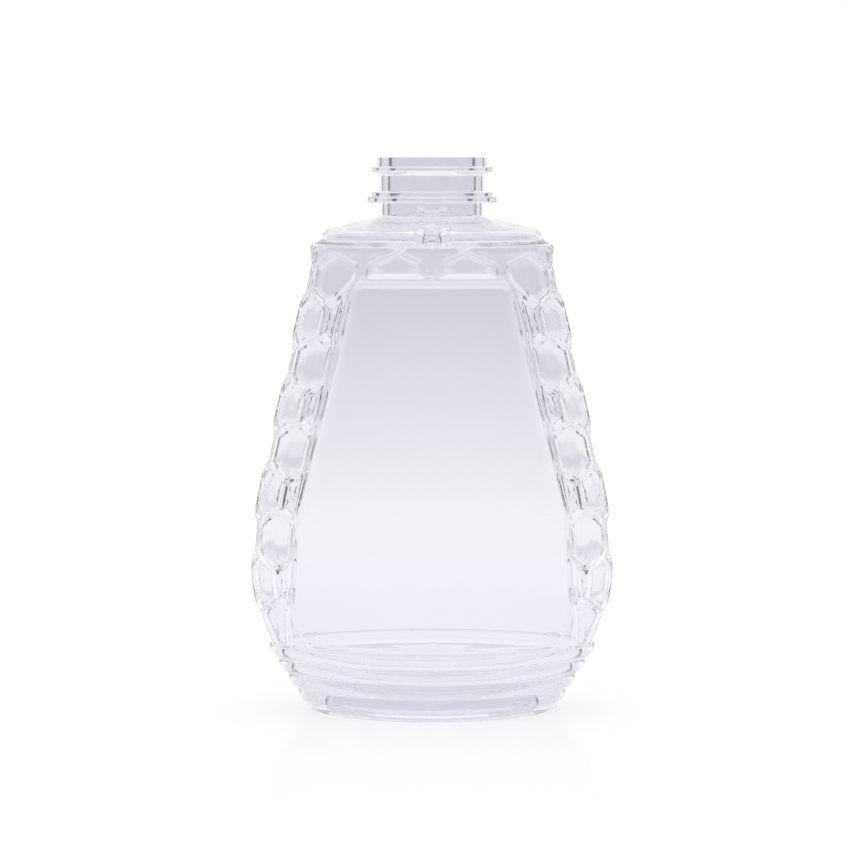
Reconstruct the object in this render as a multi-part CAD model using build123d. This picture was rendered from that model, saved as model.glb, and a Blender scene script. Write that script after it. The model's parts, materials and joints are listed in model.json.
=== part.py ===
"""A clear blow-moulded honey bottle with a honeycomb relief: a flattened pear on a ribbed heel, with an
open round neck for a press-on cap. Millimetres, +Z up, the front faces -Y, and the origin is the middle of
the base. The one moulding is divided where its own features meet, and each region is a solid of its own."""

from build123d import *
import os
from math import atan2, cos, pi, sin, sqrt

os.makedirs("parts", exist_ok=True)

# Heights above the surface that the bottle stands on
lip_height = 174.1
neck_base_height = 155.9
body_top_height = 146.0
heel_height = 21.0

# Walls
body_wall = 0.8
shoulder_wall = 1.0
base_wall = 1.2

# Body seen from above, at the lands of its relief: half sizes and the radius of the round sides
top_half_width = 38.25
top_half_depth = 25.2
top_side_radius = 17.0
belly_half_width = 57.0
belly_half_depth = 32.6
belly_side_radius = 18.5

# How the body swells: shares of its height from the heel up, and shares of the step from top to belly
swell_shares = (
    (0.0, 0.69),
    (0.1, 0.925),
    (0.19, 1.0),
    (0.27, 0.985),
    (0.35, 0.92),
    (0.44, 0.803),
    (0.55, 0.64),
    (0.655, 0.477),
    (0.765, 0.317),
    (0.865, 0.163),
    (0.94, 0.035),
    (1.0, 0.0),
)

# Honeycomb on the round sides: flat cells let into the skin, with bevelled edges and narrow lands between
cell_width = 17.5
land_width = 1.0
cell_depth = 0.7
depth_growth = 0.2
cut_cell_depth = 1.2
bevel_run = 1.5
first_row_height = 136.6
row_pitch = 13.15
row_growth = 0.157
row_count = 9
strip_half_length = 23.5

# Cut cells over the label panel, two on each broad face
cut_cell_half_width = 9.2
cut_cell_side = 4.8
cut_cell_height = 8.7
cut_cell_base_height = 136.7
cut_cell_spacing = 22.1

# Label panel, a shallow field on each broad face
panel_top_height = 135.4
panel_bend_height = 65.0
panel_bottom_height = 22.5
panel_top_half_width = 24.0
panel_bend_half_width = 41.9
panel_bottom_half_width = 44.0
panel_depth = 0.4
panel_margin = 1.2
panel_top_corner = 3.0
panel_bottom_corner = 9.0

# Ribbed heel and its standing ring
rib_count = 4
foot_height = 2.0
foot_half_width = 39.1
foot_half_depth = 27.4
foot_side_radius = 15.0
foot_bead = 0.9
foot_edge_share = 0.4
rib_rise = 1.25
rib_step_shares = (0.0, 0.2, 0.5, 0.8)

# Push-up in the middle of the base, with the mark of the moulding gate
push_up_half_width = 33.0
push_up_half_depth = 21.5
push_up_height = 5.5
gate_radius = 2.2
gate_height = 0.7

# Shoulder: a rounded ledge, an upright collar band and a low cone up to the neck
ledge_edge_height = 147.3
ledge_edge_inset = 0.9
ledge_height = 147.8
collar_foot_half_width = 35.2
collar_foot_half_depth = 22.0
collar_top_height = 151.1
collar_top_half_width = 33.8
collar_top_half_depth = 21.0
collar_side_radius = 13.5
cone_foot_height = 152.1
cone_foot_half_width = 31.6
cone_foot_half_depth = 19.6
cone_foot_side_radius = 13.5

# Lug in the middle of the collar band
lug_width = 7.1
lug_depth = 2.6
lug_bury = 1.2
lug_top_height = 152.6
lug_round = 0.8

# Neck finish
bore_radius = 14.15
lower_neck_radius = 15.9
neck_radius = 16.2
lip_radius = 17.1
lip_round = 0.4
bead_radius = 19.0
bead_top_height = 170.9
bead_bottom_height = 169.7
bead_cone_height = 168.5
lower_ring_radius = 18.9
lower_ring_top_height = 163.2
support_ring_radius = 20.25
support_ring_top_height = 161.6
support_ring_bottom_height = 160.0
ring_round = 0.35

# One overrun serves every cut, and one short step finds the slope of the skin
overrun = 5.0
slope_step = 0.5


def swell(height):
    """How far the body has swelled at a height, as a share: a smooth curve through the table."""
    share = (height - heel_height) / (body_top_height - heel_height)
    share = min(max(share, 0.0), 1.0)
    last = len(swell_shares) - 2
    index = min(sum(1 for place, _ in swell_shares[1:-1] if place <= share), last)
    (low, low_swell), (high, high_swell) = swell_shares[index], swell_shares[index + 1]
    span = high - low
    low_slope = table_slope(index) * span
    high_slope = table_slope(index + 1) * span
    s = (share - low) / span
    rise = high_swell - low_swell
    return (
        low_swell
        + low_slope * s
        + (3 * rise - 2 * low_slope - high_slope) * s**2
        + (low_slope + high_slope - 2 * rise) * s**3
    )


def table_slope(index):
    """Slope of the swell table at one of its rows, taken across its two neighbours."""
    before = swell_shares[max(index - 1, 0)]
    after = swell_shares[min(index + 1, len(swell_shares) - 1)]
    return (after[1] - before[1]) / (after[0] - before[0])


def body_section(height, outset=0.0):
    """Half width, half depth and side radius of the body's skin at a height."""
    share = swell(height)
    return (
        top_half_width + (belly_half_width - top_half_width) * share + outset,
        top_half_depth + (belly_half_depth - top_half_depth) * share + outset,
        top_side_radius + (belly_side_radius - top_side_radius) * share + outset,
    )


def heel_section(height, outset=0.0):
    """The same for the line that joins the valleys of the ribbed heel."""
    share = (height - foot_height) / (heel_height - foot_height)
    top = body_section(heel_height)
    foot = (foot_half_width, foot_half_depth, foot_side_radius)
    return tuple(low + (high - low) * share + outset for low, high in zip(foot, top))


def oval_arcs(half_width, half_depth, side_radius):
    """Radius of the broad arcs and the angle at which each round side meets them."""
    side_centre = half_width - side_radius
    broad_radius = (side_centre**2 + half_depth**2 - side_radius**2) / (2 * (half_depth - side_radius))
    turn = atan2(broad_radius - half_depth, side_centre)
    return broad_radius, turn


def oval(half_width, half_depth, side_radius, height):
    """Flat oval of four tangent arcs: two round sides and two broad faces."""
    _, turn = oval_arcs(half_width, half_depth, side_radius)
    x = half_width - side_radius + side_radius * cos(turn)
    y = side_radius * sin(turn)
    return four_arcs(half_width, half_depth, x, y, height)


def circle(radius, height):
    """A circle cut into four arcs, so that it lofts to an oval."""
    return four_arcs(radius, radius, radius * sqrt(0.5), radius * sqrt(0.5), height)


def four_arcs(half_width, half_depth, x, y, height):
    """Closed face of four arcs that meet at (x, y) and its mirror images."""
    outline = Wire(
        [
            ThreePointArc((x, -y), (half_width, 0), (x, y)),
            ThreePointArc((x, y), (0, half_depth), (-x, y)),
            ThreePointArc((-x, y), (-half_width, 0), (-x, -y)),
            ThreePointArc((-x, -y), (0, -half_depth), (x, -y)),
        ]
    )
    return Pos(0, 0, height) * make_face(outline)


def body_solid(outset=0.0):
    """The body between the heel and the shoulder, filled, its skin moved out by outset."""
    span = body_top_height - heel_height
    heights = [heel_height + share * span for share, _ in swell_shares]
    return loft([oval(*body_section(height, outset), height) for height in heights])


def skin_point(arc, height):
    """Point of the right side's skin, arc millimetres forwards of the side line, and its heading."""
    half_width, half_depth, side_radius = body_section(height)
    broad_radius, turn = oval_arcs(half_width, half_depth, side_radius)
    side_arc = side_radius * turn
    if abs(arc) <= side_arc:
        angle = arc / side_radius
        centre_x, centre_y, radius = half_width - side_radius, 0.0, side_radius
    else:
        angle = turn + (abs(arc) - side_arc) / broad_radius
        angle = angle if arc > 0 else -angle
        centre_x, radius = 0.0, broad_radius
        centre_y = broad_radius - half_depth if arc > 0 else half_depth - broad_radius
    return Vector(centre_x + radius * cos(angle), centre_y - radius * sin(angle), height), angle


def skin_plane(arc, height):
    """Plane that touches the skin at such a point: x runs forwards round the side, z points out."""
    point, angle = skin_point(arc, height)
    above, _ = skin_point(arc, height + slope_step)
    below, _ = skin_point(arc, height - slope_step)
    forwards = Vector(-sin(angle), -cos(angle), 0)
    return Plane(origin=point, x_dir=forwards, z_dir=(above - below).cross(forwards))


def cell_solids(outline, depth, place):
    """What one cell takes out of the skin, and the backing that keeps its wall as thick as the rest."""
    cut = cell_funnel(outline, depth)
    wide_outline = offset(outline, body_wall / 2, kind=Kind.INTERSECTION)
    backing = Pos(0, 0, -body_wall) * cell_funnel(wide_outline, depth)
    return place * cut, place * backing


def cell_funnel(outline, depth):
    """A funnel with a flat floor and sloping sides, which opens out to the outline at the skin."""
    floor = Pos(0, 0, -depth) * offset(outline, -bevel_run, kind=Kind.INTERSECTION)
    mouth = Pos(0, 0, depth) * offset(outline, bevel_run, kind=Kind.INTERSECTION)
    return loft([floor, mouth], ruled=True)


def honeycomb_cell(arc, height, pitch, depth):
    """One cell round the right side, cut off at the end of the strip and laid on what is left of it."""
    half_width = (cell_width - land_width) / 2
    half_height = pitch * 2 / 3 - land_width / sqrt(3)
    reach = min(strip_half_length - abs(arc), half_width)
    middle = (reach - half_width) / 2 if arc > 0 else (half_width - reach) / 2
    hexagon = closed_face(
        [
            (0, half_height),
            (-half_width, half_height / 2),
            (-half_width, -half_height / 2),
            (0, -half_height),
            (half_width, -half_height / 2),
            (half_width, half_height / 2),
        ]
    )
    kept = Rectangle(reach + half_width, half_height * 3)
    return cell_solids((Pos(-middle, 0, 0) * hexagon) & kept, depth, skin_plane(arc + middle, height))


def closed_face(points):
    """Flat face with straight edges through the points."""
    return make_face(Polyline(*points, close=True))


def honeycomb():
    """Cells of the right side: rows of three, and between them two cells with a cut one at each end."""
    cells = []
    height = first_row_height
    for row in range(row_count):
        pitch = row_pitch + row_growth * row
        depth = cell_depth + depth_growth * row
        places = (-1, 0, 1) if row % 2 == 0 else (-1.5, -0.5, 0.5, 1.5)
        cells += [honeycomb_cell(place * cell_width, height, pitch, depth) for place in places]
        height -= pitch
    return cells


def cut_cells():
    """The two cut cells over the front label panel."""
    middle = cut_cell_height / 2
    outline = closed_face(
        [
            (-cut_cell_half_width, -middle),
            (cut_cell_half_width, -middle),
            (cut_cell_half_width, cut_cell_side - middle),
            (0, middle),
            (-cut_cell_half_width, cut_cell_side - middle),
        ]
    )
    height = cut_cell_base_height + middle
    section = body_section(height)
    broad_radius, _ = oval_arcs(*section)
    cells = []
    for x in (-cut_cell_spacing / 2, cut_cell_spacing / 2):
        out_y = -sqrt(broad_radius**2 - x**2)
        point = (x, broad_radius - section[1] + out_y, height)
        place = Plane(origin=point, x_dir=(-out_y, x, 0), z_dir=(x, out_y, 0))
        cells.append(cell_solids(outline, cut_cell_depth, place))
    return cells


def let_in(cells, filled, shell):
    """The shell with each cell's backing added inside the filled shape, and the cells cut out."""
    cuts = [cut for cut, _ in cells]
    backings = [backing for _, backing in cells]
    return ((shell + backings) & filled) - cuts


def panel_half_width(height):
    """Half width of the label panel at a height, along its two straight stretches."""
    if height > panel_bend_height:
        low, low_width = panel_bend_height, panel_bend_half_width
        high, high_width = panel_top_height, panel_top_half_width
    else:
        low, low_width = panel_bottom_height, panel_bottom_half_width
        high, high_width = panel_bend_height, panel_bend_half_width
    return low_width + (high_width - low_width) * (height - low) / (high - low)


def upright_prism(points, start, end):
    """Prism along Y from start to end over a closed outline of (x, z) points."""
    outline = make_face(Polyline(*[(x, 0, z) for x, z in points], close=True))
    return Pos(0, end, 0) * extrude(outline, amount=end - start, dir=(0, -1, 0))


def parting_points():
    """Right edge of the broad walls, from the heel to the shoulder, just outside the label panel."""
    heights = (heel_height, panel_bend_height, body_top_height)
    return [(panel_half_width(height) + panel_margin, height) for height in heights]


def front_region():
    """Space that the front wall fills."""
    right = parting_points()
    left = [(-x, z) for x, z in reversed(right)]
    return upright_prism(right + left, -belly_half_depth - overrun, 0)


def right_region():
    """Space that the right side wall fills."""
    far = belly_half_width + overrun
    edge = parting_points()
    outline = edge + [(far, body_top_height), (far, heel_height)]
    reach = belly_half_depth + overrun
    return upright_prism(outline, -reach, reach)


def label_panel():
    """What the label panel takes out of the front wall, with rounded corners."""
    top, bend, bottom = panel_top_height, panel_bend_height, panel_bottom_height
    right = [(panel_bottom_half_width, bottom), (panel_bend_half_width, bend), (panel_top_half_width, top)]
    left = [(-x, z) for x, z in reversed(right)]
    prism = upright_prism(right + left, -belly_half_depth - overrun, 0)
    high_edges = prism.edges().filter_by(Axis.Y).group_by(Axis.Z)[-1]
    prism = fillet(high_edges, panel_top_corner)
    low_edges = prism.edges().filter_by(Axis.Y).group_by(Axis.Z)[0]
    prism = fillet(low_edges, panel_bottom_corner)
    return prism - body_solid(-panel_depth)


def front_wall(body):
    """Broad wall with the label panel and the cut cells."""
    filled = body & front_region()
    shell = filled - body_solid(-panel_depth - body_wall)
    return let_in(cut_cells(), filled, shell) - label_panel()


def side_wall(body):
    """Round side wall with its honeycomb, trimmed at the heel and the shoulder."""
    filled = body & right_region()
    shell = filled - body_solid(-body_wall)
    return let_in(honeycomb(), filled, shell)


def heel():
    """Ribbed ring between the body and the base, standing on a narrow bead."""
    pitch = (heel_height - foot_height) / rib_count
    sections = [
        oval(*heel_section(foot_height, foot_bead * foot_edge_share), 0),
        oval(*heel_section(foot_height, foot_bead), foot_height * foot_edge_share),
    ]
    for rib in range(rib_count):
        for share in rib_step_shares:
            height = foot_height + (rib + share) * pitch
            sections.append(oval(*heel_section(height, rib_rise * sin(pi * share)), height))
    sections.append(oval(*heel_section(heel_height), heel_height))
    outside = loft(sections, ruled=True)
    inner = [oval(*heel_section(base_wall, -body_wall), base_wall)]
    for rib in range(1, rib_count + 1):
        height = foot_height + rib * pitch
        inner.append(oval(*heel_section(height, -body_wall), height))
    return outside - loft(inner) - base_blank()


def base_blank():
    """The flat oval plate that the base fills inside the heel."""
    return extrude(oval(*heel_section(base_wall, -body_wall), 0), amount=base_wall)


def base():
    """Base plate, pushed up in the middle, with the gate mark under its crown."""
    outer = scale(Sphere(1), by=(push_up_half_width, push_up_half_depth, push_up_height))
    size = (push_up_half_width + base_wall, push_up_half_depth + base_wall, push_up_height + base_wall)
    inner = scale(Sphere(1), by=size)
    above = Pos(0, 0, size[2] / 2) * Box(size[0] * 2, size[1] * 2, size[2])
    gate_foot = push_up_height - gate_height
    gate = Pos(0, 0, gate_foot) * Cylinder(
        gate_radius, gate_height + base_wall / 2, align=(Align.CENTER, Align.CENTER, Align.MIN)
    )
    return (base_blank() + (inner & above)) - outer + gate


def shoulder_sections(wall):
    """Ovals of the shoulder from the body up to the foot of its cone, moved in by a wall."""
    width, depth, radius = body_section(body_top_height)
    edge = ledge_edge_inset
    rows = [
        (width - edge, depth - edge, radius - edge, ledge_edge_height),
        (collar_foot_half_width, collar_foot_half_depth, collar_side_radius, ledge_height),
        (collar_top_half_width, collar_top_half_depth, collar_side_radius, collar_top_height),
        (cone_foot_half_width, cone_foot_half_depth, cone_foot_side_radius, cone_foot_height),
    ]
    foot = oval(width - wall, depth - wall, radius - wall, body_top_height)
    return [foot] + [oval(*[size - wall for size in row]) for row in rows]


def shoulder():
    """Ledge, collar band with its lug, and cone up to the neck."""
    outside = loft(shoulder_sections(0) + [circle(lower_neck_radius, neck_base_height)], ruled=True)
    neck_foot = circle(bore_radius, neck_base_height - shoulder_wall)
    inside = loft(shoulder_sections(shoulder_wall) + [neck_foot], ruled=True)
    inside += Pos(0, 0, neck_base_height) * Cylinder(bore_radius, shoulder_wall * 2)
    lug_height = lug_top_height - ledge_height
    lug_middle = collar_top_half_depth + lug_depth / 2 - lug_bury
    lug = Pos(0, -lug_middle, ledge_height + lug_height / 2) * Box(lug_width, lug_depth, lug_height)
    lug = fillet(lug.edges().group_by(Axis.Y)[0], lug_round)
    return outside + lug - inside


def neck_finish():
    """Neck with its lower ring, snap bead and lip, turned about the bottle's axis."""
    profile = [
        (bore_radius, neck_base_height),
        (lower_neck_radius, neck_base_height),
        (lower_neck_radius, support_ring_top_height),
        (lower_ring_radius, support_ring_top_height),
        (lower_ring_radius, lower_ring_top_height),
        (neck_radius, lower_ring_top_height),
        (neck_radius, bead_cone_height),
        (bead_radius, bead_bottom_height),
        (bead_radius, bead_top_height),
        (lip_radius, bead_top_height),
        (lip_radius, lip_height),
        (bore_radius, lip_height),
    ]
    face = make_face(Polyline(*[(r, 0, z) for r, z in profile], close=True))
    neck = revolve(face, Axis.Z)
    return fillet(neck.edges().group_by(Axis.Z)[-1], lip_round)


def support_ring():
    """Flange under the lower ring, which carries the preform and the bottle on the filling line."""
    thickness = support_ring_top_height - support_ring_bottom_height
    middle = Pos(0, 0, support_ring_bottom_height + thickness / 2)
    ring = middle * (Cylinder(support_ring_radius, thickness) - Cylinder(lower_neck_radius, thickness))
    rims = ring.edges().filter_by(GeomType.CIRCLE).sort_by(SortBy.RADIUS)[-2:]
    return fillet(rims, ring_round)


def main():
    """Make every region and write each to its own file."""
    body = body_solid()
    front = front_wall(body)
    right = side_wall(body)
    nodes = {
        "neck_finish": neck_finish(),
        "support_ring": support_ring(),
        "shoulder": shoulder(),
        "front_label_wall": front,
        "back_label_wall": mirror(front, Plane.XZ),
        "right_honeycomb_wall": right,
        "left_honeycomb_wall": mirror(right, Plane.YZ),
        "ribbed_heel": heel(),
        "push_up_base": base(),
    }
    for name, shape in nodes.items():
        export_step(shape, f"parts/{name}.step")


main()
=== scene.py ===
# %% [markdown]
# A clear honey bottle.
# The real bottle is one moulding of clear polyester: a preform with a finished neck is heated, stretched and
# blown into a mould. So the looks are one closed shell too, with an outer and an inner skin and no faces
# inside the plastic. Light bends wherever the two skins aren't parallel, and that draws the honeycomb.
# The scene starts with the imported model, which gives the frame that every piece has to fit.

# %% Load the frame
import bpy
import bmesh
import json
from math import acos, atan2, cos, hypot, pi, radians, sin, sqrt
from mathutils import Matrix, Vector
from mathutils.geometry import delaunay_2d_cdt

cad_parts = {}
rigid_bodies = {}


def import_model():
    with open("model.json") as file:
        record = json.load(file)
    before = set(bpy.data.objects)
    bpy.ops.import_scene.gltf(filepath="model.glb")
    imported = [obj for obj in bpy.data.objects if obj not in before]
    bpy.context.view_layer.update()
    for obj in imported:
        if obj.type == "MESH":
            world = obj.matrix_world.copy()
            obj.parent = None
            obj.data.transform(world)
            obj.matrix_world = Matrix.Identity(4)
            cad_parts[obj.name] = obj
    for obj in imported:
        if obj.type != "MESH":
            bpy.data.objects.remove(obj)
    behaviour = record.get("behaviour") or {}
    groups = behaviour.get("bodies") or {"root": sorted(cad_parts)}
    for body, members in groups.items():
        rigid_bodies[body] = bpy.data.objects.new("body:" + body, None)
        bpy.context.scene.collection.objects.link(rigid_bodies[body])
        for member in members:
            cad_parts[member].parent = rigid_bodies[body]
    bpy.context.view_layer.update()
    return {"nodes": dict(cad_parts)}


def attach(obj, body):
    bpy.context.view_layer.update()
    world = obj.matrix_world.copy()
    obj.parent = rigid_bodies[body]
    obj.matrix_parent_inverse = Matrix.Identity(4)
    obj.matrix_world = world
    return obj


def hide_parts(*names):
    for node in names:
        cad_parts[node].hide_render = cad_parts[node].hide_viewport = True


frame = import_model()
MM = 0.001
print("CAD nodes:", sorted(frame["nodes"]))

# %% [markdown]
# The camera looks at the bottle from the height of its lip, tilted down by a few degrees.
# The picture is 850 pixels wide. A point of the bottle's axis is 3.17 pixels a millimetre, which fixes the
# distance and the lens together. The distance itself comes from how round the base looks.

# %% Camera
camera_data = bpy.data.cameras.new("product_camera")
camera = bpy.data.objects.new("product_camera", camera_data)
bpy.context.scene.collection.objects.link(camera)
camera_data.sensor_width = 36
camera_data.lens = 148.5
camera_tilt = radians(4.47)
camera_pan = radians(0.115)
camera.location = (0, -1.1, 0.176)
camera.rotation_euler = (pi / 2 - camera_tilt, 0, camera_pan)
bpy.context.scene.camera = camera
bpy.context.scene.view_settings.view_transform = "Standard"
print("camera", tuple(camera.location), "lens", camera_data.lens)

# %% [markdown]
# The body is a flattened pear. From above, each level is an oval of four arcs: two round sides and two
# broad faces. How far the body swells from level to level is a table of shares, with a smooth curve through
# it. These sizes are in millimetres, because that is how a bottle's drawing gives them.

# %% Sizes of the body
lip_height = 174.1
body_top = 146.0
heel_top = 21.0
top_section = (38.25, 25.2, 17.0)
belly_section = (57.0, 32.6, 18.5)
swell_shares = (
    (0.0, 0.69), (0.1, 0.925), (0.19, 1.0), (0.27, 0.985), (0.35, 0.92), (0.44, 0.803),
    (0.55, 0.64), (0.655, 0.477), (0.765, 0.317), (0.865, 0.163), (0.94, 0.035), (1.0, 0.0),
)


def table_slope(index):
    """Slope of the swell table at one row, taken across its neighbours."""
    before = swell_shares[max(index - 1, 0)]
    after = swell_shares[min(index + 1, len(swell_shares) - 1)]
    return (after[1] - before[1]) / (after[0] - before[0])


def swell(height):
    """How far the body has swelled at a height."""
    share = min(max((height - heel_top) / (body_top - heel_top), 0.0), 1.0)
    index = min(sum(1 for place, _ in swell_shares[1:-1] if place <= share), len(swell_shares) - 2)
    (low, low_swell), (high, high_swell) = swell_shares[index], swell_shares[index + 1]
    span = high - low
    a, b = table_slope(index) * span, table_slope(index + 1) * span
    s, rise = (share - low) / span, high_swell - low_swell
    return low_swell + a * s + (3 * rise - 2 * a - b) * s**2 + (a + b - 2 * rise) * s**3


def body_section(height):
    """Half width, half depth and side radius of the body at a height."""
    share = swell(height)
    return tuple(top + (belly - top) * share for top, belly in zip(top_section, belly_section))


def oval_arcs(half_width, half_depth, side_radius):
    """Radius of the broad arcs and the angle at which they meet the round sides."""
    centre = half_width - side_radius
    broad_radius = (centre**2 + half_depth**2 - side_radius**2) / (2 * (half_depth - side_radius))
    return broad_radius, atan2(broad_radius - half_depth, centre)


def quarter_length(section):
    """Length round a quarter of the oval, from the side line to the middle of the front."""
    broad_radius, turn = oval_arcs(*section)
    return section[2] * turn + broad_radius * (pi / 2 - turn)


def oval_point(section, arc):
    """Point of the front right quarter, arc millimetres from the side line, and its heading."""
    half_width, half_depth, side_radius = section
    broad_radius, turn = oval_arcs(*section)
    side_arc = side_radius * turn
    if arc <= side_arc:
        angle = arc / side_radius
        return half_width - side_radius + side_radius * cos(angle), -side_radius * sin(angle), angle
    angle = turn + (arc - side_arc) / broad_radius
    return broad_radius * cos(angle), broad_radius - half_depth - broad_radius * sin(angle), angle


for height in (heel_top, 46.5, 90, body_top):
    print("height", height, "section", [round(size, 1) for size in body_section(height)],
          "quarter", round(quarter_length(body_section(height)), 1))

# %% [markdown]
# The relief is drawn flat first, like a sheet of paper that will be wrapped round the bottle.
# A quarter of the bottle is enough, because it mirrors left to right and front to back. On the sheet, across
# is the distance round from the side line and up is the height. Every line that has to stay crisp, such as
# the edge of a cell or the foot of its bevel, is drawn as an outline, and a triangulation that keeps those
# lines turns the drawing into a mesh. Edit-mode tools can't cut a sheet along so many slanted lines without
# stray edges, so this one sheet is made this other way.

# %% Outlines on the flat sheet
strip_width = 27.0
broad_sheet_width = 34.0
sheet_width = strip_width + broad_sheet_width
edge_softness = 0.2


def sheet_place(arc, height):
    """Place across the sheet of a point that is arc millimetres round from the side line."""
    if arc <= strip_width:
        return arc
    left = quarter_length(body_section(height)) - strip_width
    return strip_width + (arc - strip_width) / left * broad_sheet_width


def arc_place(across, height):
    """The other way: distance round from the side line of a place across the sheet."""
    if across <= strip_width:
        return across
    left = quarter_length(body_section(height)) - strip_width
    return strip_width + (across - strip_width) / broad_sheet_width * left


def arc_at_x(x, height):
    """Distance round from the side line of a point of the broad face that has this x."""
    section = body_section(height)
    broad_radius, turn = oval_arcs(*section)
    return section[2] * turn + broad_radius * (acos(min(x / broad_radius, 1.0)) - turn)


def edge_lines(outline):
    """Each edge of a convex outline as its inward normal and offset."""
    lines = []
    middle = [sum(point[k] for point in outline) / len(outline) for k in (0, 1)]
    for (x0, y0), (x1, y1) in zip(outline, outline[1:] + outline[:1]):
        length = hypot(x1 - x0, y1 - y0)
        nx, ny = -(y1 - y0) / length, (x1 - x0) / length
        if nx * (middle[0] - x0) + ny * (middle[1] - y0) < 0:
            nx, ny = -nx, -ny
        lines.append((nx, ny, nx * x0 + ny * y0))
    return lines


def inside_distance(lines, x, y):
    """How far a point lies inside a convex outline. It is negative outside."""
    return min(nx * x + ny * y - offset for nx, ny, offset in lines)


def clip(outline, nx, ny, offset):
    """The part of an outline on the inner side of one line."""
    kept = []
    for (x0, y0), (x1, y1) in zip(outline, outline[1:] + outline[:1]):
        d0, d1 = nx * x0 + ny * y0 - offset, nx * x1 + ny * y1 - offset
        if d0 >= 0:
            kept.append((x0, y0))
        if d0 * d1 < 0:
            share = d0 / (d0 - d1)
            kept.append((x0 + (x1 - x0) * share, y0 + (y1 - y0) * share))
    return kept


def inset(lines, distance):
    """The outline moved inwards by a distance, which may be negative."""
    outline = [(-200.0, -200.0), (200.0, -200.0), (200.0, 400.0), (-200.0, 400.0)]
    for nx, ny, offset in lines:
        outline = clip(outline, nx, ny, offset + distance)
    return outline


print("sheet is", sheet_width, "by", body_top - heel_top)

# %% [markdown]
# Each cell of the honeycomb is let into the skin and has a bevelled edge. The cells on the side line are flat
# floors: each lies on the plane that touches the skin at its middle, so its bevel only shows along the
# slanted edges. The other cells follow the skin, with an even bevel all round. On the inner skin every edge
# is softer. The rows grow a little taller downwards, and the flat floors grow deeper.

# %% Cells of the honeycomb
cell_width = 17.5
land_width = 1.0
cell_depth = 0.7
depth_growth = 0.2
cell_bevel = 1.1
corner_bevel = 1.6
side_cell_depth = 1.0
inner_softness = 1.3
broad_inner_softness = 0.7
first_row = 136.6
row_pitch = 13.15
row_growth = 0.157
strip_end = 23.5
cell_rows = 9
corner_cell = [(17.6, 144.8), (9.0, 140.8), (9.0, 132.6), (17.5, 128.5), (23.6, 133.0), (26.2, 136.6),
               (26.2, 141.2)]
features = []


def add_cell(outline, depth, bevel, middle_arc, middle_height, flat, on_face=False, inner=inner_softness):
    """Notes a cell: its outline, depth and bevel, and the plane that a flat floor is laid on."""
    section = body_section(middle_height)
    x, y, angle = oval_point(section, middle_arc)
    above = oval_point(body_section(middle_height + 0.5), middle_arc)
    below = oval_point(body_section(middle_height - 0.5), middle_arc)
    upwards = Vector((above[0] - below[0], above[1] - below[1], 1.0))
    normal = upwards.cross(Vector((-sin(angle), -cos(angle), 0.0))).normalized()
    features.append({"lines": edge_lines(outline), "depth": depth, "bevel": bevel, "flat": flat,
                     "on_face": on_face, "inner": inner, "origin": Vector((x, y, middle_height)),
                     "normal": normal})


panel_heights = (22.5, 65.0, 135.4)
panel_half_widths = (44.0, 41.9, 24.0)
panel_land = 1.5


def panel_arc(height):
    """Distance round from the side line to the label panel's border."""
    low, bend, high = panel_heights
    foot, knee, peak = panel_half_widths
    x = foot + (knee - foot) * (height - low) / (bend - low)
    if height > bend:
        x = knee + (peak - knee) * (height - bend) / (high - bend)
    return arc_at_x(x, height)


height = first_row
for row in range(cell_rows):
    pitch = row_pitch + row_growth * row
    for place in ((0, 1) if row % 2 == 0 else (0.5, 1.5)):
        middle = place * cell_width
        half_width = (cell_width - land_width) / 2
        half_height = pitch * 2 / 3 - land_width / sqrt(3)
        hexagon = [(middle, height + half_height), (middle - half_width, height + half_height / 2),
                   (middle - half_width, height - half_height / 2), (middle, height - half_height),
                   (middle + half_width, height - half_height / 2),
                   (middle + half_width, height + half_height / 2)]
        hexagon = clip(hexagon, -1.0, 0.0, -strip_end)
        low, high = max(height - half_height, heel_top), height + half_height
        low_end, high_end = panel_arc(low) - panel_land, panel_arc(high) - panel_land
        if min(low_end, high_end) < strip_end:
            length = hypot(high - low, high_end - low_end)
            nx, nz = -(high - low) / length, (high_end - low_end) / length
            hexagon = clip(hexagon, nx, nz, nx * low_end + nz * low)
        cell_middle = (middle - half_width + min(strip_end, middle + half_width)) / 2
        if row == 0 and place == 1:
            add_cell(corner_cell, side_cell_depth, corner_bevel, cell_middle, height, flat=False,
                     inner=broad_inner_softness)
            continue
        depth = cell_depth + depth_growth * row if place == 0 else side_cell_depth
        add_cell(hexagon, depth, cell_bevel, cell_middle, height, flat=place == 0)
    height -= pitch
print(len(features), "cells in a quarter of the honeycomb")

# %% [markdown]
# Two more cells sit on the broad face above the label panel, one left and one right of the middle. Their
# lower halves are cut off by the panel, so each is a low shape with a pointed top.

# %% Cut cells above the label panel
cut_cell = (9.2, 4.8, 8.7)
cut_cell_base = 136.7
cut_cell_middle = 11.05
cut_cell_depth = 1.2
cut_cell_bevel = 1.9
half_width, side, tall = cut_cell
outline = [(cut_cell_middle - half_width, cut_cell_base), (cut_cell_middle + half_width, cut_cell_base),
           (cut_cell_middle + half_width, cut_cell_base + side), (cut_cell_middle, cut_cell_base + tall),
           (cut_cell_middle - half_width, cut_cell_base + side)]
middle_height = cut_cell_base + tall / 2
add_cell(outline, cut_cell_depth, cut_cell_bevel, arc_at_x(cut_cell_middle, middle_height), middle_height,
         flat=False, on_face=True, inner=broad_inner_softness)
print(len(features), "cells in a quarter of the bottle")

# %% [markdown]
# The label panel is a shallow field with rounded lower corners, where a label would be stuck. Its border is
# a small step, which shows as a thin line. Its outline is drawn several times, from a little outside the
# step to a little inside its foot, so that the step's rounded edges have edges of the mesh to lie on.

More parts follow.
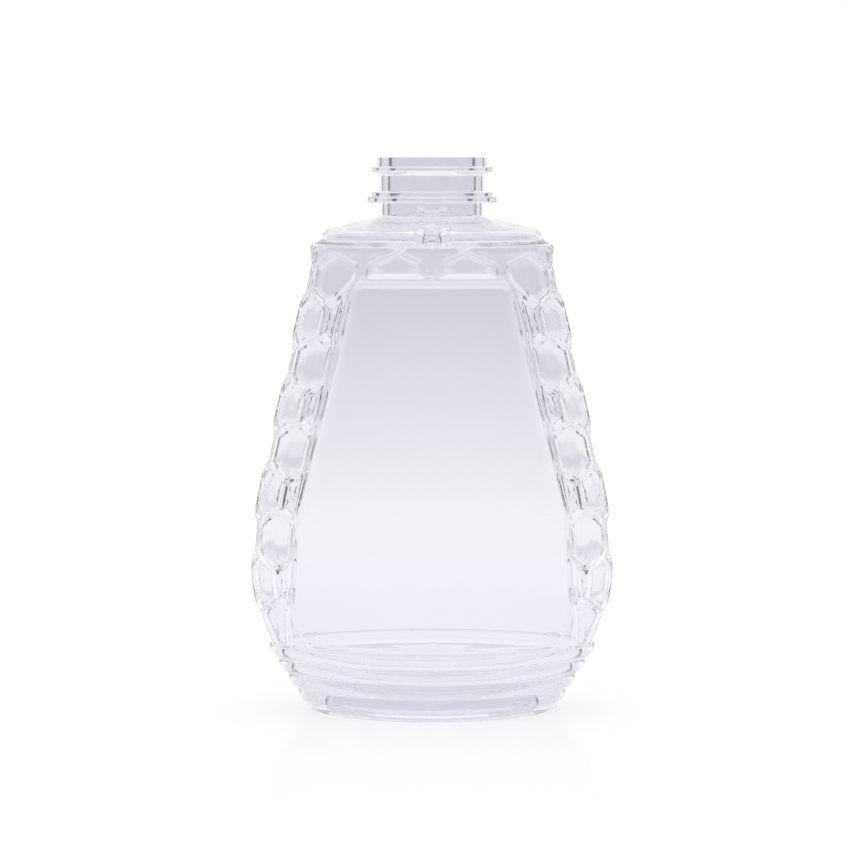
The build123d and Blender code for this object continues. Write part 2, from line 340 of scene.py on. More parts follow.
# %% Label panel
panel_corners = (9.0, 3.0)
panel_depth = 0.4
panel_bevel = 0.5
panel_softness = 0.1
panel_inner_softness = 1.0
panel_foot_fade = 9.0
panel_foot_share = 0.2
panel_line_places = (-0.9, -0.35, -0.1, 0.1, 0.4, 0.6, 0.95, 1.5)


def rounded_corner(before, corner, after, radius, steps=8):
    """Points of an arc that rounds one corner of an outline."""
    corner, before, after = Vector(corner), Vector(before), Vector(after)
    a, b = (before - corner).normalized(), (after - corner).normalized()
    half_angle = acos(max(-1.0, min(1.0, a.dot(b)))) / 2
    centre = corner + (a + b).normalized() * (radius / sin(half_angle))
    start, end = corner + a * (radius / abs(sin(half_angle)) * cos(half_angle)), corner + b * (
        radius / abs(sin(half_angle)) * cos(half_angle))
    first = atan2((start - centre).y, (start - centre).x)
    turn = atan2((end - centre).y, (end - centre).x) - first
    turn = (turn + pi) % (2 * pi) - pi
    return [(centre.x + radius * cos(first + turn * k / steps), centre.y + radius * sin(first + turn * k / steps))
            for k in range(steps + 1)]


def panel_outline(distance):
    """Border of the label panel in the front's right half, moved inwards by a distance."""
    bottom, bend, top = panel_heights
    corners = [(0.0, bottom), (panel_half_widths[0], bottom), (panel_half_widths[1], bend),
               (panel_half_widths[2], top), (0.0, top)]
    low = Vector(corners[2]) - Vector(corners[1])
    high = Vector(corners[3]) - Vector(corners[2])
    low_in = Vector((-low.y, low.x)).normalized() * distance
    high_in = Vector((-high.y, high.x)).normalized() * distance

    def on_low(z):
        share = (z - corners[1][1] - low_in.y) / low.y
        return corners[1][0] + low_in.x + low.x * share

    def on_high(z):
        share = (z - corners[2][1] - high_in.y) / high.y
        return corners[2][0] + high_in.x + high.x * share

    z0, z1 = bottom + distance, top - distance
    foot, peak, knee = (on_low(z0), z0), (on_high(z1), z1), (on_high(bend), bend)
    points = [(0.0, z0)]
    points += rounded_corner((0.0, z0), foot, knee, panel_corners[0] - distance)
    points += [knee]
    points += rounded_corner(knee, peak, (0.0, z1), panel_corners[1] - distance)
    return points + [(0.0, z1)]


panel_lines = [line for line in edge_lines(panel_outline(0.0)) if abs(line[2]) > 1e-6]
print("panel outline has", len(panel_outline(0.0)), "points")

# %% [markdown]
# Now the drawing becomes a mesh. Each outline is drawn several times, side by side, from just outside the
# cell to just inside its floor, so that the rounded edges of the bevel have edges of the mesh to lie on.
# Between them a grid of points lets the sheet bend round the bottle.

# %% Triangulate the flat sheet
cell_line_step = 1.3
panel_line_step = 2.0
side_rim_columns = 20
broad_columns = 11
lug_column_places = (3.85, 3.4, 2.2, 1.1, 0.0)
height_steps = 70
grid_columns = 15
cell_margins = (0.8, 0.9)
panel_margins = (1.2, 1.3)
tolerance = 1e-3
sheet_points = []
sheet_edges = []


def draw(points, closed=False):
    """Adds a line to the drawing."""
    first, count = len(sheet_points), len(points)
    sheet_points.extend(points)
    sheet_edges.extend((first + k, first + k + 1) for k in range(count - 1))
    if closed:
        sheet_edges.append((first + count - 1, first))


def divided(points, step, closed):
    """A line with points about a step apart. A side that lies in the sheet's border stays whole."""
    dense = []
    for (x0, z0), (x1, z1) in zip(points, points[1:] + points[:1] if closed else points[1:]):
        on_border = abs(x0) + abs(x1) < 1e-6 or abs(z0 - heel_top) + abs(z1 - heel_top) < 1e-6
        pieces = 1 if on_border else max(1, round(hypot(x1 - x0, z1 - z0) / step))
        dense += [(x0 + (x1 - x0) * k / pieces, z0 + (z1 - z0) * k / pieces) for k in range(pieces)]
    return dense if closed else dense + [points[-1]]


def draw_feature(points, on_face):
    """Draws an outline given as arc or x and height, cut off at the edges of the sheet."""
    points = clip(clip(points, 1.0, 0.0, 0.0), 0.0, 1.0, heel_top)
    draw([(sheet_place(arc_at_x(u, z) if on_face else u, z), z)
          for u, z in divided(points, cell_line_step, True)], closed=True)


for feature in features:
    bevel = feature["bevel"]
    for distance in (-edge_softness, 0.0, edge_softness, bevel / 2, bevel - edge_softness, bevel,
                     bevel + edge_softness):
        draw_feature(inset(feature["lines"], distance), feature["on_face"])
for distance in panel_line_places:
    draw([(sheet_place(arc_at_x(x, z), z), z)
          for x, z in divided(panel_outline(distance), panel_line_step, False)])

rim_columns = [strip_width * k / side_rim_columns for k in range(side_rim_columns + 1)]
lug_columns = [sheet_place(arc_at_x(x, body_top), body_top) for x in lug_column_places]
rim_columns += [strip_width + (lug_columns[0] - strip_width) * k / broad_columns for k in range(1, broad_columns)]
rim_columns += lug_columns
rim_count = 4 * (len(rim_columns) - 1)
heights = [heel_top + (body_top - heel_top) * k / height_steps for k in range(height_steps + 1)]
draw([(across, body_top) for across in rim_columns])
draw([(across, heel_top) for across in rim_columns])
draw([(0.0, z) for z in heights])
draw([(sheet_width, z) for z in heights])


def near_a_line(across, z):
    """True where the drawing already has points close by."""
    arc = arc_place(across, z)
    x = oval_point(body_section(z), arc)[0]
    for feature in features:
        distance = inside_distance(feature["lines"], x if feature["on_face"] else arc, z)
        if -cell_margins[0] < distance < feature["bevel"] + cell_margins[1]:
            return True
    return -panel_margins[0] < inside_distance(panel_lines, x, z) < panel_bevel + panel_margins[1]


for index, z in enumerate(heights[1:-1]):
    for column in range(1, grid_columns):
        across = strip_width * (column + 0.5 * (index % 2)) / grid_columns
        if across < strip_width and not near_a_line(across, z):
            sheet_points.append((across, z))
    if index % 2 == 0:
        for column in range(1, grid_columns):
            across = strip_width + broad_sheet_width * (column - 0.5 * (index % 4 == 0)) / (grid_columns - 0.5)
            if across < sheet_width - 0.5 and not near_a_line(across, z):
                sheet_points.append((across, z))


def snapped(value, borders):
    """A coordinate, put exactly on a border of the sheet if it is as good as there."""
    return next((border for border in borders if abs(value - border) < tolerance), value)


def on_one_border(corners):
    """True for a triangle that lies flat in one border of the sheet."""
    return any(all(abs(corner[axis] - border) < tolerance for corner in corners)
               for axis, border in ((0, 0.0), (0, sheet_width), (1, heel_top), (1, body_top)))


drawing = [Vector((snapped(x, (0.0, sheet_width)), snapped(z, (heel_top, body_top)))) for x, z in sheet_points]
points, _, triangles, _, _, _ = delaunay_2d_cdt(drawing, sheet_edges, [], 0, tolerance)
triangles = [t for t in triangles if not on_one_border([points[k] for k in t])]
print(len(points), "points and", len(triangles), "triangles in the flat sheet, rim of", rim_count)

# %% [markdown]
# Wrapping lays each point of the sheet on the skin and then lowers it where it is inside a cell or the
# label panel. The soft ramp has rounded ends, because a blown edge is never sharp. Where the skin already
# lies lower than the cell's floor, it stays as it is.

# %% Wrap the sheet round a quarter of the body
body_wall = 0.8
cell_reach = 14.0


def soft_ramp(distance, run, softness):
    """Rises from 0 to 1 over a run, with rounded ends."""
    def rise(t):
        if t <= -softness:
            return 0.0
        return t if t >= softness else (t + softness) ** 2 / (4 * softness)
    return (rise(distance) - rise(distance - run)) / run


def soft_lower(a, b, reach):
    """The lower of two levels, with the corner between them rounded."""
    overlap = max(reach - abs(a - b), 0.0)
    return min(a, b) - (overlap**2 / (4 * reach) if reach > 0 else 0.0)


def wrapped(across, z, wall=0.0):
    """Point of the relief for a place on the sheet, moved in by a wall."""
    arc = arc_place(across, z)
    x, y, angle = oval_point(body_section(z), arc)
    above = oval_point(body_section(min(z + 0.5, body_top)), arc)
    below = oval_point(body_section(max(z - 0.5, heel_top)), arc)
    upwards = Vector((above[0] - below[0], above[1] - below[1], 1.0))
    outwards = upwards.cross(Vector((-sin(angle), -cos(angle), 0.0))).normalized()
    point = Vector((x, y, z)) - outwards * wall
    sink = 0.0
    for feature in features:
        if abs(z - feature["origin"].z) > cell_reach:
            continue
        distance = inside_distance(feature["lines"], x if feature["on_face"] else arc, z)
        softness = feature["inner"] if wall else edge_softness
        if distance > -softness:
            depth = feature["depth"] * soft_ramp(distance, feature["bevel"], softness)
            if feature["flat"]:
                normal = feature["normal"]
                own_level = (point - feature["origin"]).dot(normal)
                fade = min(1.0, (distance + softness) / (2 * softness))
                level = soft_lower(own_level, -depth - wall, softness * fade)
                depth = (own_level - level) / normal.dot(outwards)
            sink = max(sink, depth)
    distance = inside_distance(panel_lines, x, z)
    softness = panel_inner_softness if wall else panel_softness
    if distance > -softness:
        rise = max(z - panel_heights[0], 0.0)
        foot_fade = min(1.0, panel_foot_share + (1 - panel_foot_share) * rise / panel_foot_fade)
        sink = max(sink, panel_depth * foot_fade * soft_ramp(distance, panel_bevel, softness))
    return point - outwards * sink


def skin_object(name, wall):
    """One quarter of a skin, whose points remember their share of the way round."""
    mesh = bpy.data.meshes.new(name)
    mesh.from_pydata([wrapped(*p, wall) * MM for p in points], [], [tuple(t) for t in triangles])
    for layer, values in (("arc_share", shares), ("even_share", evens)):
        mesh.attributes.new(layer, "FLOAT", "POINT").data.foreach_set("value", values)
    skin = bpy.data.objects.new(name, mesh)
    bpy.context.scene.collection.objects.link(skin)
    return skin


shares = [arc_place(*p) / quarter_length(body_section(p[1])) for p in points]
evens = []
for (across, z), share in zip(points, shares):
    near = min(range(len(rim_columns)), key=lambda k: abs(rim_columns[k] - across))
    evens.append(near / (len(rim_columns) - 1) if z > body_top - 0.001 else share)
body = skin_object("outer_skin", 0.0)
inner = skin_object("inner_skin", body_wall)
print("quarter of the body:", len(points), "vertices a skin")

# %% [markdown]
# Two mirrors make the whole tube of each skin. The mirror joins the points on its planes, so that no seam is
# left. The inner skin is the same sheet, moved in by the wall and with softer edges, because the inside of a
# blown wall never follows the mould as sharply as the outside. That difference is what makes an edge of the
# relief work as a small lens and show as a light or dark line.

# %% Mirror the quarters
merge_distance = 0.002 * MM


def pick(*objects):
    """Selects these objects alone and makes the first one active."""
    bpy.ops.object.select_all(action="DESELECT")
    for obj in objects:
        obj.select_set(True)
    bpy.context.view_layer.objects.active = objects[0]


for skin in (body, inner):
    pick(skin)
    bpy.ops.object.modifier_add(type="MIRROR")
    skin.modifiers[-1].use_axis = (True, True, False)
    skin.modifiers[-1].merge_threshold = merge_distance
    bpy.ops.object.modifier_apply(modifier=skin.modifiers[-1].name)
    bpy.ops.object.mode_set(mode="EDIT")
    bpy.ops.mesh.select_all(action="SELECT")
    bpy.ops.mesh.remove_doubles(threshold=merge_distance)
    bpy.ops.object.mode_set(mode="OBJECT")
    print(skin.name, "has", len(skin.data.vertices), "vertices")

# %% [markdown]
# Heel, base and shoulder grow from the two rims of the tube by extruding the rim again and again, one ring
# for each level, as one would with the extrude tool and a reference drawing. Each point of a rim remembers
# its share of the way round, so a new ring only needs the size of its oval.

# %% Extrude rings from a rim
middle_level = 80 * MM


def ring_point(row, arc_part, even_part):
    """Place in the front right quarter on a ring. Its last number blends from oval to ellipse."""
    half_width, half_depth, side_radius, height, roundness = row
    x = half_width * cos(even_part * pi / 2)
    y = -half_depth * sin(even_part * pi / 2)
    if roundness < 1:
        section = (half_width, half_depth, side_radius)
        oval_x, oval_y, _ = oval_point(section, arc_part * quarter_length(section))
        x, y = oval_x + (x - oval_x) * roundness, oval_y + (y - oval_y) * roundness
    return x, y, height


def soften(rows, reach, steps=4):
    """Rounds the corners of a path of rings with short curves that start a reach before them."""
    path = [rows[0]]
    for before, corner, after in zip(rows, rows[1:], rows[2:]):
        lengths = [hypot(corner[0] - row[0], corner[3] - row[3]) for row in (before, after)]
        back, on = (min(reach / max(length, 1e-6), 0.45) for length in lengths)
        start = [c + (b - c) * back for b, c in zip(before, corner)]
        end = [c + (a - c) * on for a, c in zip(after, corner)]
        for k in range(steps + 1):
            t = k / steps
            path.append([s * (1 - t) ** 2 + 2 * c * t * (1 - t) + e * t**2 for s, c, e in zip(start, corner, end)])
    return path + [rows[-1]]


def extrude_rings(obj, low_rim, rows, reshape=None):
    """Extrudes the lower or upper rim of a skin through the rows of a path."""
    pick(obj)
    bpy.ops.object.mode_set(mode="EDIT")
    bpy.ops.mesh.select_mode(type="EDGE")
    bpy.ops.mesh.select_all(action="DESELECT")
    mesh = bmesh.from_edit_mesh(obj.data)
    for edge in mesh.edges:
        if edge.is_boundary and (edge.verts[0].co.z < middle_level) == low_rim:
            edge.select_set(True)
    for row in rows:
        bpy.ops.mesh.extrude_region()
        mesh = bmesh.from_edit_mesh(obj.data)
        arc_layer = mesh.verts.layers.float["arc_share"]
        even_layer = mesh.verts.layers.float["even_share"]
        for vert in mesh.verts:
            if vert.select:
                x, y, z = ring_point(row, vert[arc_layer], vert[even_layer])
                if reshape:
                    x, y, z = reshape(x, y, z, vert.co.y > 0)
                side_x = 0 if abs(vert.co.x) < 1e-7 else (1 if vert.co.x > 0 else -1)
                side_y = 0 if abs(vert.co.y) < 1e-7 else (1 if vert.co.y < 0 else -1)
                vert.co = (x * side_x * MM, y * side_y * MM, z * MM)
    bmesh.update_edit_mesh(obj.data)
    bpy.ops.object.mode_set(mode="OBJECT")


def close_rim(obj):
    """Closes the lower rim with a fan of triangles."""
    pick(obj)
    bpy.ops.object.mode_set(mode="EDIT")
    bpy.ops.mesh.select_all(action="DESELECT")
    mesh = bmesh.from_edit_mesh(obj.data)
    for edge in mesh.edges:
        if edge.is_boundary and edge.verts[0].co.z < middle_level:
            edge.select_set(True)
    bpy.ops.mesh.edge_face_add()
    bpy.ops.mesh.poke()
    bpy.ops.object.mode_set(mode="OBJECT")


# %% [markdown]
# The heel has four round ribs, which stiffen it. Under them the bottle stands on a flat rim, and the base
# is pushed up inside that rim, so that the bottle stands steadily. The small step in the middle of the
# push-up is the mark that the preform's gate leaves.

# %% Ribbed heel and push-up base
foot_height = 2.0
foot_section = (39.1, 27.4, 15.0)
rib_count = 4
rib_rise = 1.25
foot_bead = 0.9
push_up = (33.0, 21.5, 5.5)
gate_radius = 2.2


def heel_row(height, outset):
    """Ring of the heel, moved out from the line that joins its valleys."""
    share = (height - foot_height) / (heel_top - foot_height)
    top = body_section(heel_top)
    return [low + (high - low) * share + outset for low, high in zip(foot_section, top)] + [height, 0.0]


def rib_rows(rise, wall):
    """Rings of the ribs from the top down."""
    rows = []
    pitch = (heel_top - foot_height) / rib_count
    for rib in reversed(range(rib_count)):
        for share in (0.98, 0.95, 0.9, 0.83, 0.75, 0.65, 0.5, 0.35, 0.25, 0.17, 0.1, 0.05, 0.02):
            rows.append(heel_row(foot_height + (rib + share) * pitch, rise * sin(pi * share) ** 0.8 - wall))
    return rows


def dome_rows(half_width, half_depth, tall, base, start=0.0):
    """Rings of the push-up, from its rim to just short of its crown."""
    rows = []
    for k in range(1, 15):
        angle = start + (radians(84) - start) * k / 14
        rows.append([half_width * cos(angle), half_depth * cos(angle), 0.5 * half_depth * cos(angle),
                     base + tall * sin(angle), 1.0])
    return rows


foot_rows = [heel_row(1.5, foot_bead * 0.85), heel_row(0.9, foot_bead), heel_row(0.4, foot_bead * 0.9),
             heel_row(0.12, foot_bead * 0.65), heel_row(0.0, foot_bead * 0.3)]
flat_rows = []
outer_foot = foot_rows[-1]
for share in (0.35, 0.7, 0.93, 1.0):
    rim = [push_up[0] + 0.2, push_up[1] + 0.2, 10.0, 0.0, 1.0]
    flat_rows.append([a + (b - a) * share for a, b in zip(outer_foot, rim)])
outer_dome = dome_rows(push_up[0], push_up[1], push_up[2], 0.0)
crown = push_up[2]
gate_rows = [[gate_radius + 0.5, gate_radius + 0.5, 1.0, crown - 0.02, 1.0],
             [gate_radius + 0.1, gate_radius + 0.1, 1.0, crown - 0.1, 1.0],
             [gate_radius, gate_radius, 1.0, crown - 0.5, 1.0],
             [gate_radius - 0.15, gate_radius - 0.15, 1.0, crown - 0.7, 1.0],
             [gate_radius * 0.5, gate_radius * 0.5, 1.0, crown - 0.72, 1.0]]
extrude_rings(body, True, rib_rows(rib_rise, 0.0) + foot_rows + flat_rows + outer_dome + gate_rows)
close_rim(body)

inner_corner = [heel_row(2.6, -body_wall * 1.1), heel_row(1.7, -body_wall * 1.6)]
inner_foot = inner_corner[-1]
inner_flat = []
for share in (0.12, 0.45, 1.0):
    rim = [push_up[0] + 1.0, push_up[1] + 1.0, 10.0, 1.5, 1.0]
    inner_flat.append([a + (b - a) * share for a, b in zip(inner_foot, rim)])
inner_dome = dome_rows(push_up[0] + 1.0, push_up[1] + 1.0, push_up[2] + 0.4, 1.5, 0.1)
extrude_rings(inner, True, rib_rows(rib_rise * 0.8, body_wall) + inner_corner + inner_flat + inner_dome)
close_rim(inner)
print("with heel and base:", len(body.data.vertices), "and", len(inner.data.vertices), "vertices")

# %% [markdown]
# The shoulder is a rounded ledge, an upright collar band and a low cone up to the neck. In the middle of the
# front, the collar has a small square lug, which turns the bottle the right way round on the filling line.
# The extra columns of points in the rim are there for the lug's upright edges. The lug is blown as well, so
# the inner skin follows it. The inner skin also turns below the ledge in a row of its own sizes, because a
# plain offset of the outer row leaves a wedge there that shows as a dark line.

# %% Shoulder
shoulder_wall = 1.0
collar_height = 151.1
lug_half_width = 3.55
lug_face = 22.5
lug_foot = 147.8
lug_top = 153.4
lug_edge = 0.3
lug_slope_height = 1.05
ledge_corner_inset = 1.55
ledge_corner_rise = 0.75


def lug_mover(wall):
    """Makes the function that moves a skin's points of the collar to the lug."""
    face, foot, collar_top = -lug_face + wall, lug_foot - wall, collar_height - wall

    def move(x, y, z, at_the_back):
        if at_the_back or abs(x) > lug_half_width - wall or z > collar_top + lug_slope_height:
            return x, y, z
        if z < foot + 0.2:
            return x, min(y, face), z
        if z <= collar_top:
            return x, face, foot + (z - foot) / (collar_top - foot) * (lug_top - lug_edge - lug_foot)
        share = (z - collar_top) / lug_slope_height
        return x, face + 0.5 * share, lug_top - wall - lug_edge + lug_edge * share

    return move


def shoulder_rows(wall):
    """Rings from the top of the body to the foot of the neck, moved in by a wall."""
    width, depth, radius = body_section(body_top)
    rows = [(width, depth, radius, body_top, 0.0), (width - 0.9, depth - 0.9, radius - 0.9, 147.3, 0.0),
            (35.2, 22.0, 13.5, 147.8, 0.0), (33.8, 21.0, 13.5, collar_height, 0.0),
            (31.6, 19.6, 13.5, 152.1, 0.0)]
    rows = [[size - wall for size in row[:3]] + [row[3] - (wall if row[3] > body_top else 0.0), 0.0]
            for row in rows]
    if wall:
        rows[1] = [size - ledge_corner_inset for size in (width, depth, radius)] + [
            body_top + ledge_corner_rise, 0.0]
    cone_foot = rows[-1]
    neck_foot = [15.9 - wall * 1.75, 15.9 - wall * 1.75, 13.5 - wall, 155.9 - wall, 1.0]
    path = soften(rows, 0.8, 7)
    for k in range(1, 9):
        share = k / 8
        row = [a + (b - a) * share for a, b in zip(cone_foot, neck_foot)]
        row[3] += 0.35 * sin(pi * share) * (share - 1)
        path.append(row)
    return path[1:]


extrude_rings(body, False, shoulder_rows(0.0), lug_mover(0.0))
extrude_rings(inner, False, shoulder_rows(shoulder_wall), lug_mover(shoulder_wall))
print("with shoulder:", len(body.data.vertices), "and", len(inner.data.vertices), "vertices")

# %% [markdown]
# The neck isn't blown. It is injection moulded with the preform, so it is round, thick-walled and exact.
# Its profile is drawn point by point with the extrude tool and spun about the bottle's axis. The spin has
# as many steps as the rim of the shoulder has points, so that both rims join point to point.

# %% Neck finish, spun from its profile
bore_radius = 14.15
neck_profile = [
    (bore_radius, 154.9), (bore_radius, lip_height), (17.1, lip_height), (17.1, 170.9), (19.0, 170.9),
    (19.0, 169.7), (16.2, 168.5), (16.2, 163.2), (18.9, 163.2), (18.9, 161.6), (20.25, 161.6), (20.25, 160.0),
    (15.9, 160.0), (15.9, 155.9),
]
corner_reach = 0.35


def rounded_profile(corners, reach, steps):
    """A profile with a small curve at each corner."""
    rows = [[r, 0.0, 0.0, z, 0.0] for r, z in corners]
    return [(row[0], row[3]) for row in soften(rows, reach, steps)]


bpy.ops.object.select_all(action="DESELECT")
bpy.ops.mesh.primitive_plane_add(size=1, location=(0, 0, 0))
neck = bpy.context.view_layer.objects.active
neck.name = "neck_finish_shell"
profile = rounded_profile(neck_profile, corner_reach, 6)
bpy.ops.object.mode_set(mode="EDIT")
bpy.ops.mesh.select_mode(type="VERT")
bpy.ops.mesh.select_all(action="SELECT")
bpy.ops.mesh.merge(type="CENTER")
mesh = bmesh.from_edit_mesh(neck.data)
mesh.verts.ensure_lookup_table()
mesh.verts[0].co = (profile[0][0] * MM, 0, profile[0][1] * MM)
mesh.verts[0].select_set(True)
for (r0, z0), (r1, z1) in zip(profile, profile[1:]):
    bpy.ops.mesh.extrude_region_move(TRANSFORM_OT_translate={"value": ((r1 - r0) * MM, 0, (z1 - z0) * MM)})
bpy.ops.mesh.select_all(action="SELECT")
bpy.ops.mesh.spin(steps=rim_count, angle=2 * pi, center=(0, 0, 0), axis=(0, 0, 1))
bpy.ops.mesh.select_all(action="SELECT")
bpy.ops.mesh.remove_doubles(threshold=merge_distance)
bpy.ops.object.mode_set(mode="OBJECT")
print("neck:", len(profile), "profile points,", len(neck.data.vertices), "vertices")

# %% [markdown]
# Both skins and the neck join into one closed shell, and a count of open edges shows that nothing gapes.
# Shading follows the larger faces at the heel and from the top row of cells upwards, so that flat faces look
# flat there. The honeycomb further down keeps plain smooth shading, which draws its lines more strongly.

# %% Join everything into one closed shell
crisp_from = 128.0
smooth_angle = radians(50)
pick(body, inner, neck)
bpy.ops.object.join()
bpy.ops.object.mode_set(mode="EDIT")
bpy.ops.mesh.select_all(action="SELECT")
bpy.ops.mesh.remove_doubles(threshold=merge_distance)
bpy.ops.mesh.normals_make_consistent(inside=False)
bpy.ops.object.mode_set(mode="OBJECT")
body.name = "clear_bottle_shell"
pick(body)
bpy.ops.object.shade_smooth_by_angle(angle=smooth_angle)
ends = [v.index for v in body.data.vertices if v.co.z < (heel_top + 0.01) * MM or v.co.z > crisp_from * MM]
body.vertex_groups.new(name="crisp_ends").add(ends, 1.0, "REPLACE")
weighted = body.modifiers.new("weighted_normals", "WEIGHTED_NORMAL")
weighted.keep_sharp = True
weighted.vertex_group = "crisp_ends"
check = bmesh.new()
check.from_mesh(body.data)
open_edges = [e for e in check.edges if not e.is_manifold]
print("shell:", len(check.faces), "faces,", len(open_edges), "open edges, volume",
      round(check.calc_volume() * 1e6, 1), "cubic cm")
check.free()

# %% [markdown]
# The plastic is clear polyester. It bends light a little more than glass does, and its surface is
# glossy from the polished mould. It has a faint cold grey tint, which is stronger near the neck, where the
# wall was stretched least and stays thick.

# %% Colour and node helpers


def srgb(code):
    """Linear colour of an sRGB hex code."""
    parts = [int(code[k:k + 2], 16) / 255 for k in (1, 3, 5)]
    return [c / 12.92 if c <= 0.04045 else ((c + 0.055) / 1.055) ** 2.4 for c in parts] + [1.0]


def add_node(tree, kind, settings=None, **inputs):
    """Adds a node with its settings, values and links."""
    node = tree.nodes.new(kind)
    for name, value in (settings or {}).items():
        setattr(node, name, value)
    for name, value in inputs.items():
        key = int(name[3:]) if name.startswith("in_") else name.replace("_", " ")
        socket = node.inputs[key]
        if isinstance(value, bpy.types.NodeSocket):
            tree.links.new(value, socket)
        else:
            socket.default_value = value
    return node


def new_material(name):
    """An empty node material and its output node."""
    material = bpy.data.materials.new(name)
    material.use_nodes = True
    material.node_tree.nodes.clear()
    return material, material.node_tree.nodes.new("ShaderNodeOutputMaterial")


def fill_ramp(node, stops):
    """Puts its stops on a ramp node, each a place from 0 to 1 and a colour."""
    elements = node.color_ramp.elements
    while len(elements) < len(stops):
        elements.new(0.5)
    for element, (place, code) in zip(elements, stops):
        element.position = place
        element.color = srgb(code)


# %% Clear blown polyester
plastic, output = new_material("clear_blown_polyester")
tree = plastic.node_tree
place = add_node(tree, "ShaderNodeTexCoord").outputs["Object"]
parts = add_node(tree, "ShaderNodeSeparateXYZ", Vector=place)
level = add_node(tree, "ShaderNodeMapRange", Value=parts.outputs["Z"], From_Min=0.0, From_Max=lip_height * MM)
tint = add_node(tree, "ShaderNodeValToRGB", Fac=level.outputs["Result"])
fill_ramp(tint, ((0.0, "#F2F2F7"), (0.03, "#F2F2F7"), (0.1, "#F5F5F9"), (0.35, "#F6F6F9"),
                 (0.7, "#F3F3F7"), (1.0, "#EEEEF3")))
clear = add_node(tree, "ShaderNodeBsdfPrincipled", Base_Color=tint.outputs["Color"], Roughness=0.01, IOR=1.575,
                 Transmission_Weight=1.0)
tree.links.new(clear.outputs["BSDF"], output.inputs["Surface"])
body.data.materials.clear()
body.data.materials.append(plastic)
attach(body, "root")
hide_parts(*sorted(frame["nodes"]))
print("material", plastic.name, "on", body.name)

# %% [markdown]
# The floor is white and a little glossy, so it shows the bottle's soft shadow and its faint mirror image.
# It glows as well, so that it meets the white of the background.

# %% Floor
floor_glow = 0.69
floor_gloss_share = 0.14
bpy.ops.object.select_all(action="DESELECT")
bpy.ops.mesh.primitive_plane_add(size=1.2, location=(0, 0, 0))
floor = bpy.context.view_layer.objects.active
floor.name = "studio_floor"
floor_paint, output = new_material("white_acrylic_floor")
tree = floor_paint.node_tree
matt = add_node(tree, "ShaderNodeBsdfDiffuse", Color=srgb("#A0A0A3"))
glow = add_node(tree, "ShaderNodeEmission", Color=(1, 1, 1, 1), Strength=floor_glow)
gloss = add_node(tree, "ShaderNodeBsdfGlossy", Color=(1, 1, 1, 1), Roughness=0.08)
lit = add_node(tree, "ShaderNodeAddShader", in_0=matt.outputs[0], in_1=glow.outputs[0])
both = add_node(tree, "ShaderNodeMixShader", in_0=floor_gloss_share, in_1=lit.outputs[0], in_2=gloss.outputs[0])
tree.links.new(both.outputs[0], output.inputs["Surface"])
floor.data.materials.append(floor_paint)

# %% [markdown]
# Clear plastic has hardly a look of its own: it shows the room, bent. The camera itself sees pure white.
# Through the plastic it sees a backdrop in bands, grey at eye level and white above and below. Two upright
# strips stand behind the bottle, near-black on the left and grey on the right, and the bent edges of the
# cells pick them up as dark strokes. They are narrower above the level of the shoulder, for the thick neck.
# On the camera's side the room has a grey band above eye level, and a softbox over it that only shows as
# a mirror image. Low down, the backdrop seen through the plastic is a little brighter, to meet the tone of
# the floor. Light that is trapped in the wall needs more bounces than usual, or it leaves black lines.

# %% Studio light
softbox_strength = 0.6
backdrop_lift = 0.035
world = bpy.data.worlds.new("studio")
bpy.context.scene.world = world
world.use_nodes = True
tree = world.node_tree
tree.nodes.clear()
output = tree.nodes.new("ShaderNodeOutputWorld")
direction = add_node(tree, "ShaderNodeTexCoord").outputs["Generated"]
parts = add_node(tree, "ShaderNodeSeparateXYZ", Vector=direction)


def ramp_over(factor, low, high, stops):
    """A ramp of colours over a range of the factor, each stop a place in that range and a colour."""
    share = add_node(tree, "ShaderNodeMapRange", Value=factor, From_Min=low, From_Max=high)
    node = add_node(tree, "ShaderNodeValToRGB", Fac=share.outputs["Result"])
    fill_ramp(node, [((place - low) / (high - low), code) for place, code in stops])
    return node.outputs["Color"]


def mixed(share, a, b):
    """Mix of two colours."""
    return add_node(tree, "ShaderNodeMix", {"data_type": "RGBA"}, in_0=share, in_6=a, in_7=b).outputs[2]


def strip_pair(*edges):
    """White on two strips, by the four angles from straight behind at which they begin and end softly."""
    places = [radians(angle) for angle in (0, *edges, 60)]
    codes = ("#000000", "#000000", "#FFFFFF", "#FFFFFF", "#000000", "#000000")
    return ramp_over(aside.outputs[0], 0.0, radians(60), list(zip(places, codes)))


white = (1, 1, 1, 1)
around = add_node(tree, "ShaderNodeMath", {"operation": "ARCTAN2"}, in_0=parts.outputs["X"],
                  in_1=parts.outputs["Y"])
aside = add_node(tree, "ShaderNodeMath", {"operation": "ABSOLUTE"}, in_0=around.outputs[0])
backdrop = ramp_over(parts.outputs["Z"], -0.2, 0.2, (
    (-0.2, "#FFFFFF"), (-0.1, "#FFFFFF"), (-0.077, "#F8F8FA"), (-0.06, "#F0F0F3"), (-0.043, "#E7E7EB"),
    (-0.025, "#E9E9ED"), (0.0, "#E9E9ED"), (0.04, "#F8F8FA"), (0.08, "#FFFFFF"), (0.2, "#FFFFFF")))
wide_strips = strip_pair(12.5, 14, 27, 34)
narrow_strips = strip_pair(17.5, 19, 26, 28)
below_shoulder = add_node(tree, "ShaderNodeMapRange", Value=parts.outputs["Z"], From_Min=-0.02, From_Max=-0.028)
strips = mixed(below_shoulder.outputs[0], narrow_strips, wide_strips)
strip_height = ramp_over(parts.outputs["Z"], -0.3, 0.3, (
    (-0.3, "#000000"), (-0.2, "#000000"), (-0.14, "#FFFFFF"), (0.02, "#FFFFFF"), (0.05, "#000000"),
    (0.3, "#000000")))
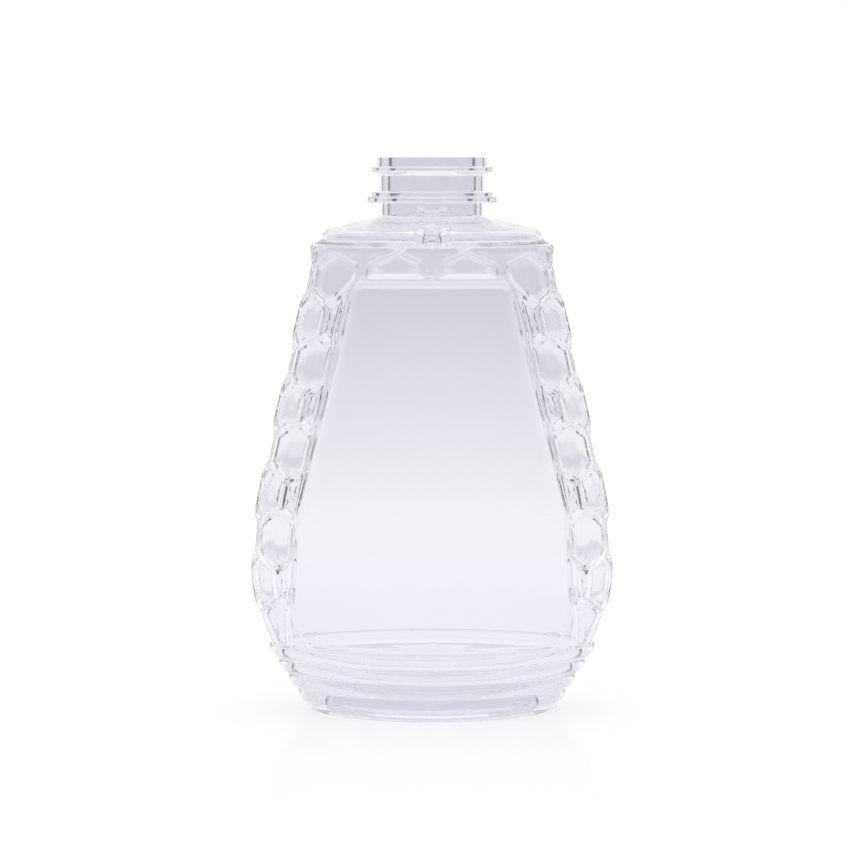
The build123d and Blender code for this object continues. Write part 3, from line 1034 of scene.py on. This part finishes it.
side = add_node(tree, "ShaderNodeMapRange", Value=parts.outputs["X"], From_Min=-0.01, From_Max=0.01)
strip_colour = mixed(side.outputs[0], srgb("#080A12"), srgb("#565662"))
through = mixed(mixed(strip_height, (0, 0, 0, 1), strips), backdrop, strip_colour)
before = add_node(tree, "ShaderNodeMath", {"operation": "LESS_THAN"}, in_0=parts.outputs["Y"], in_1=0.0)
room = ramp_over(parts.outputs["Z"], 0.0, 1.0, ((0.0, "#FFFFFF"), (0.25, "#BCBCC4"), (0.5, "#BCBCC4"),
                                               (0.62, "#FFFFFF"), (1.0, "#FFFFFF")))
mirrored = mixed(before.outputs[0], white, room)
rays = add_node(tree, "ShaderNodeLightPath")
with_gloss = mixed(rays.outputs["Is Glossy Ray"], white, mirrored)
seen = mixed(rays.outputs["Is Transmission Ray"], with_gloss, mixed(before.outputs[0], through, room))
above = add_node(tree, "ShaderNodeMapRange", Value=parts.outputs["Z"], From_Min=0.55, From_Max=0.7)
softbox = add_node(tree, "ShaderNodeMath", {"operation": "MULTIPLY"}, in_0=above.outputs[0],
                   in_1=before.outputs[0])
extra = add_node(tree, "ShaderNodeMath", {"operation": "MULTIPLY"}, in_0=softbox.outputs[0],
                 in_1=rays.outputs["Is Glossy Ray"])
foot = add_node(tree, "ShaderNodeMapRange", Value=parts.outputs["Z"], From_Min=-0.075, From_Max=-0.105,
                To_Max=backdrop_lift)
lift = add_node(tree, "ShaderNodeMath", {"operation": "MULTIPLY_ADD"}, in_0=foot.outputs[0],
                in_1=rays.outputs["Is Transmission Ray"], in_2=1.0)
strength = add_node(tree, "ShaderNodeMath", {"operation": "MULTIPLY_ADD"}, in_0=extra.outputs[0],
                    in_1=softbox_strength, in_2=lift.outputs[0])
light = add_node(tree, "ShaderNodeBackground", Color=seen, Strength=strength.outputs[0])
tree.links.new(light.outputs[0], output.inputs["Surface"])
bpy.context.scene.cycles.max_bounces = 40
bpy.context.scene.cycles.glossy_bounces = 32
bpy.context.scene.cycles.transmission_bounces = 32
print("studio ready")
